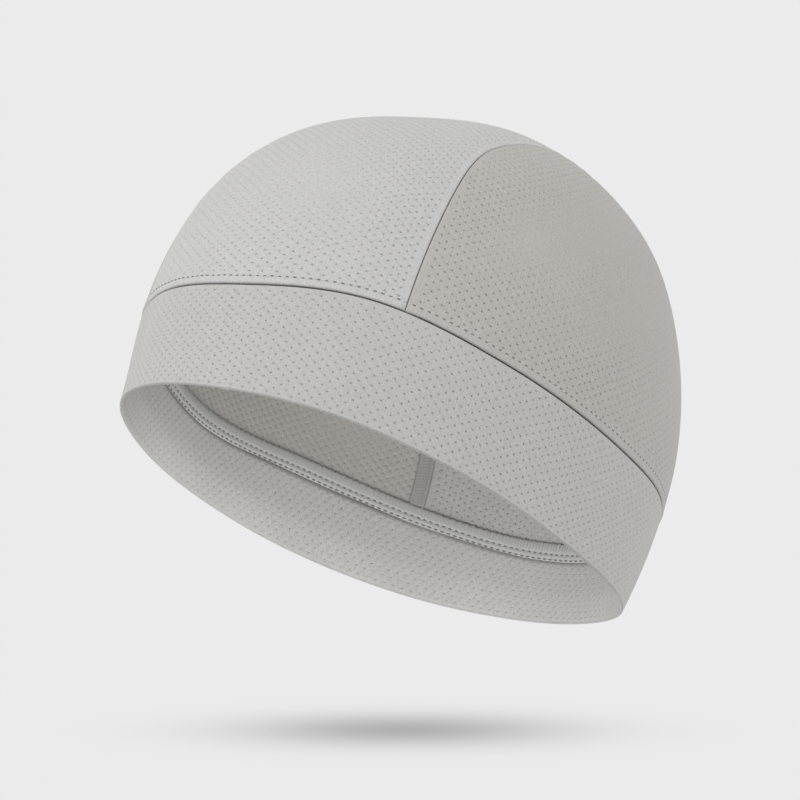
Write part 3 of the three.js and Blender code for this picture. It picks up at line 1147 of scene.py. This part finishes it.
# After each stitch comes a short dark spline, painted shade for the needle hole
# The middle of a stitch, as a share of the pitch after the last one's, its length, how deep its
# ends lie and how proud its middle stands
CROWN_STITCH = {"start": 0, "length": 1.5, "dip": 0.25, "rise": 0.08}
CROWN_HOLE_SHADE = {"start": 0.5, "length": 0.9, "dip": 0.3, "rise": -0.04}
INNER_STITCH = {"start": 0, "length": 1.5, "dip": -0.25, "rise": -0.08}
INNER_HOLE_SHADE = {"start": 0.5, "length": 1.1, "dip": -0.2, "rise": -0.12}
THREAD_RADIUS = 0.2
HOLE_SHADE_RADIUS = 0.28
INNER_THREAD_RADIUS = 0.12


def sew(name, paths, radius, material):
    """One mesh of thread from paths, each an array of points in the cap's own frame."""
    curve = bpy.data.curves.new(name, "CURVE")
    curve.dimensions = "3D"
    curve.bevel_depth = radius * MM
    curve.bevel_resolution = 1
    curve.use_fill_caps = True
    for path in paths:
        spline = curve.splines.new("POLY")
        spline.points.add(len(path) - 1)
        spline.points.foreach_set("co", np.column_stack([worn(path), np.ones(len(path))]).ravel())
    lines = bpy.data.objects.new(name + "_lines", curve)
    mesh = bpy.data.meshes.new_from_object(lines)
    bpy.data.objects.remove(lines)
    bpy.data.curves.remove(curve)
    mesh.name = name
    mount_piece(name, mesh, material)
    print(len(paths), "threads")


def stitch_paths(place, start, length, dip, rise):
    """Stitches at even lengths round the cap: place takes lengths and depths, gives points."""
    count = round(RING_LENGTH / STITCH_PITCH)
    middles = (np.arange(count) + start) * RING_LENGTH / count
    shares = np.array([-0.5, -0.38, -0.12, 0.12, 0.38, 0.5])
    shoulder = rise * SHOULDER_SHARE
    depths = np.array([dip, -shoulder, -rise, -rise, -shoulder, dip])
    lengths = middles[:, None] + shares * length
    points = place(lengths.ravel(), np.tile(depths, count))
    return points.reshape(count, len(shares), 3)


def on_crown(lengths, depths):
    """Places on the crown's outer face, in the groove of the stitching above the band."""
    points = above_seam(angles_along(lengths), TOPSTITCH_LEVEL, 0)
    level = np.full(len(points), TOPSTITCH_LEVEL)
    surface = np.interp(TOPSTITCH_LEVEL, RIDGE_PLACES, RIDGE_HEIGHTS) + soft_relief(points, level)
    return sunk(points, depths - surface)


def on_allowance(row):
    """Places in one of the two needle rows inside."""

    def place(lengths, depths):
        return above_seam(angles_along(lengths), row, NEEDLE_DEPTH + depths)

    return place


sew("topstitch_above_band", stitch_paths(on_crown, **CROWN_STITCH), THREAD_RADIUS, thread)
# Painted shade for the needle holes between the stitches above the band
sew("topstitch_painted_hole_shade", stitch_paths(on_crown, **CROWN_HOLE_SHADE), HOLE_SHADE_RADIUS, needle_hole_shade)
rows = [on_allowance(row) for row in NEEDLE_ROWS]
stitches = [path for row in rows for path in stitch_paths(row, **INNER_STITCH)]
sew("needle_rows_inside", stitches, INNER_THREAD_RADIUS, thread)
# Painted shade for the needle holes between the stitches inside
marks = [path for row in rows for path in stitch_paths(row, **INNER_HOLE_SHADE)]
sew("painted_needle_hole_shade_inside", marks, HOLE_SHADE_RADIUS, needle_hole_shade)

# %% The overlock loops over the allowance's upper edge
LOOP_HEIGHTS = [3.1, 4.3, 5.4, 6.3, 6.65, 6.5]
LOOP_DEPTHS = [2.4, 2.44, 2.36, 2.2, 1.95, 1.7]
LOOP_LEAN = 0.45
LOOP_STRAY = 0.15
LOOP_RADIUS = 0.1


def loop_paths():
    count = round(RING_LENGTH / LOOP_PITCH)
    starts = (np.arange(count) + rng.uniform(-LOOP_STRAY, LOOP_STRAY, count)) * RING_LENGTH / count
    lean = np.linspace(0, LOOP_LEAN, len(LOOP_HEIGHTS))
    lengths = (starts[:, None] + lean).ravel()
    heights = np.tile(LOOP_HEIGHTS, count)
    heights = heights + edge_wave(lengths) * heights / ALLOWANCE_HEIGHT
    points = above_seam(angles_along(lengths), heights, np.tile(LOOP_DEPTHS, count))
    return points.reshape(count, len(LOOP_HEIGHTS), 3)


sew("overlock_loops_inside", loop_paths(), LOOP_RADIUS, loop_thread)

# %% [markdown]
# ## The strip seams from inside
#
# Each strip seam is overlocked inside too, and its narrow edge lies over to the side panel. It
# is the same kind of tube as the allowance, but its ends stop at the allowance and are filled.

# %% Wrap the strip seams' inner edges
SEAM_EDGE_COLUMNS = 230
LINE_STEPS = 300
# Distance out from the seam, depth under the outer face and painted shade, in the groove along
# the edge's middle
SEAM_EDGE_SECTION = [
    (-0.4, 1.2, 0), (-0.5, 1.35, 0), (-0.2, 1.55, 0), (0.4, 1.62, 0.1), (0.7, 1.55, 0.3),
    (1.0, 1.62, 0.1), (2.4, 1.64, 0), (3.8, 1.55, 0), (4.3, 1.4, 0), (4.1, 1.2, 0), (2.0, 1.15, 0),
]
SEAM_EDGE_CLEAR = 7.1
SEAM_LOOP_OUT = [0.9, 2.0, 3.3, 4.2, 4.45]
SEAM_LOOP_DEPTHS = [1.62, 1.66, 1.62, 1.48, 1.3]
SEAM_LOOP_LEAN = 0.35


def inside_strip_seam(side):
    front, back = (turn[0] for turn in strip_ends(np.array([side]), 0, SEAM_EDGE_CLEAR))

    def place(share, out, depth):
        turn = front + (back - front) * share
        return sunk(strip_points(np.full(len(share), float(side)), turn, -out), depth)

    return place


seam_threads = []
for name, side in (("left", 1), ("right", -1)):
    place = inside_strip_seam(side)
    bm = section_tube(SEAM_EDGE_COLUMNS, SEAM_EDGE_SECTION, place, False)
    finish_piece(f"strip_seam_edge_{name}", bm, inner_edge_painted_shade_cloth)
    level = np.zeros(LINE_STEPS)
    count = round(arc_lengths(place(np.linspace(0, 1, LINE_STEPS), level, level))[-1] / LOOP_PITCH)
    lean = np.linspace(0, SEAM_LOOP_LEAN, len(SEAM_LOOP_OUT))
    share = (np.arange(count)[:, None] + 0.5 + lean) / (count + 1)
    points = place(share.ravel(), np.tile(SEAM_LOOP_OUT, count), np.tile(SEAM_LOOP_DEPTHS, count))
    seam_threads.extend(points.reshape(count, len(SEAM_LOOP_OUT), 3))
sew("strip_seam_loops_inside", seam_threads, LOOP_RADIUS, inner_loop_painted_shade_thread)

# %% [markdown]
# ## Camera, light and floor
#
# The camera looks at the cap from its front left, from a little above the rim, with a long
# lens, as in a catalogue picture. A pale world lights it from all sides. A broad soft sun from
# the upper left gives it form, a faint one from the right lifts its far edge, and one from the
# camera fills in. A small lamp under the near rim lights the inside, which is as pale as the
# outside. The floor lies well below the cap, which is held up as a head holds it. A shadow
# cast there would be far wider than the short soft one wanted, so that one is painted on.

# %% Camera
AIM = (0.0, 0.02332, 0.04423)
CAMERA_AZIMUTH = math.radians(33.86)
CAMERA_ELEVATION = math.radians(4.91)
CAMERA_DISTANCE = 0.966
LENS = 130.4
SENSOR = 36.0
SHIFT = (-0.0145, -0.0304)
level = math.cos(CAMERA_ELEVATION)
to_camera = Vector((
    math.sin(CAMERA_AZIMUTH) * level, -math.cos(CAMERA_AZIMUTH) * level, math.sin(CAMERA_ELEVATION)
))
camera = bpy.data.objects.new("camera", bpy.data.cameras.new("camera"))
camera.data.lens = LENS
camera.data.sensor_width = SENSOR
camera.data.shift_x, camera.data.shift_y = SHIFT
camera.location = Vector(AIM) + to_camera * CAMERA_DISTANCE
camera.rotation_euler = to_camera.to_track_quat("Z", "Y").to_euler()
bpy.context.scene.collection.objects.link(camera)
bpy.context.scene.camera = camera
print("camera at", [round(c, 3) for c in camera.location])

# %% Light
PALE = 0.831
# From where each sun shines as the camera sees it, its strength and its width in degrees
SUNS = {
    "key_light": {"across": -0.8, "up": 0.6, "towards": 0.6, "strength": 1.0, "width": 50},
    "rim_light": {"across": 0.9, "up": 0.25, "towards": -0.3, "strength": 0.25, "width": 40},
    "fill_light": {"across": 0.0, "up": -0.4, "towards": 1.0, "strength": 0.3, "width": 60},
}
INSIDE_POWER = 0.092
INSIDE_SIZE = (0.12, 0.05)
INSIDE_PLACE = (-0.02, -0.055, 0.03)
INSIDE_AIM_UP = 0.15
world = bpy.data.worlds.new("pale_studio")
bpy.context.scene.world = world
world.use_nodes = True
world.node_tree.nodes["Background"].inputs["Color"].default_value = (PALE, PALE, PALE, 1)
bpy.context.scene.view_settings.view_transform = "Standard"
right = Vector((math.cos(CAMERA_AZIMUTH), math.sin(CAMERA_AZIMUTH), 0))


def soft_sun(name, across, up, towards, strength, width):
    """A sun that shines from a direction given as the camera sees it."""
    source = right * across + Vector((0, 0, up)) + to_camera * towards
    light = bpy.data.lights.new(name, "SUN")
    light.energy = strength
    light.angle = math.radians(width)
    lamp = bpy.data.objects.new(name, light)
    lamp.rotation_euler = source.to_track_quat("Z", "Y").to_euler()
    bpy.context.scene.collection.objects.link(lamp)


for name, sun in SUNS.items():
    soft_sun(name, **sun)

# A small panel hangs just below the near rim and shines at the far side of the inside
panel = bpy.data.lights.new("inside_light", "AREA")
panel.shape = "RECTANGLE"
panel.size, panel.size_y = INSIDE_SIZE
panel.energy = INSIDE_POWER
lamp = bpy.data.objects.new("inside_light", panel)
across, up, towards = INSIDE_PLACE
lamp.location = right * across + Vector((0, 0, up)) + to_camera * towards
lamp.rotation_euler = (to_camera - Vector((0, 0, INSIDE_AIM_UP))).to_track_quat("Z", "Y").to_euler()
lamp.visible_camera = False
bpy.context.scene.collection.objects.link(lamp)

# %% Floor
FLOOR_DROP = 0.073
FLOOR_SIZE = 60.0
SHADE_CENTRE = (0.0045, 0.0120)
SHADE_ACROSS = 0.038
SHADE_ALONG = 0.0185
SHADE_DEPTH = 0.47
bm = bmesh.new()
bmesh.ops.create_grid(bm, x_segments=1, y_segments=1, size=FLOOR_SIZE / 2)
bmesh.ops.translate(bm, vec=(0, 0, -FLOOR_DROP), verts=bm.verts)
mesh = bpy.data.meshes.new("floor")
bm.to_mesh(mesh)
bm.free()
floor = bpy.data.objects.new("floor", mesh)
floor.visible_shadow = False
bpy.context.scene.collection.objects.link(floor)
paint = Finish("pale_floor", (PALE, PALE, PALE))
place = paint.node("SeparateXYZ", {}, {0: paint.node("TexCoord", {}, {}).outputs["Object"]}).outputs
from_x, from_y = (paint.term(place[i]) - SHADE_CENTRE[i] for i in (0, 1))
across = (from_x * right.x + from_y * right.y) * (1 / SHADE_ACROSS)
along = (from_x * -right.y + from_y * right.x) * (1 / SHADE_ALONG)
near_middle = (across * across + along * along) * -0.5
shade = near_middle.using("EXPONENT", near_middle) * SHADE_DEPTH
pale, dim = (PALE, PALE, PALE, 1), (0, 0, 0, 1)
paint.feed(paint.shader.inputs["Emission Color"], paint.blend(shade, pale, dim))
paint.shader.inputs["Emission Strength"].default_value = 1.0
paint.shader.inputs["Base Color"].default_value = dim
paint.shader.inputs["Specular IOR Level"].default_value = 0.0
mesh.materials.append(paint.material)
print("floor", FLOOR_DROP * 1000, "mm under the middle of the opening")
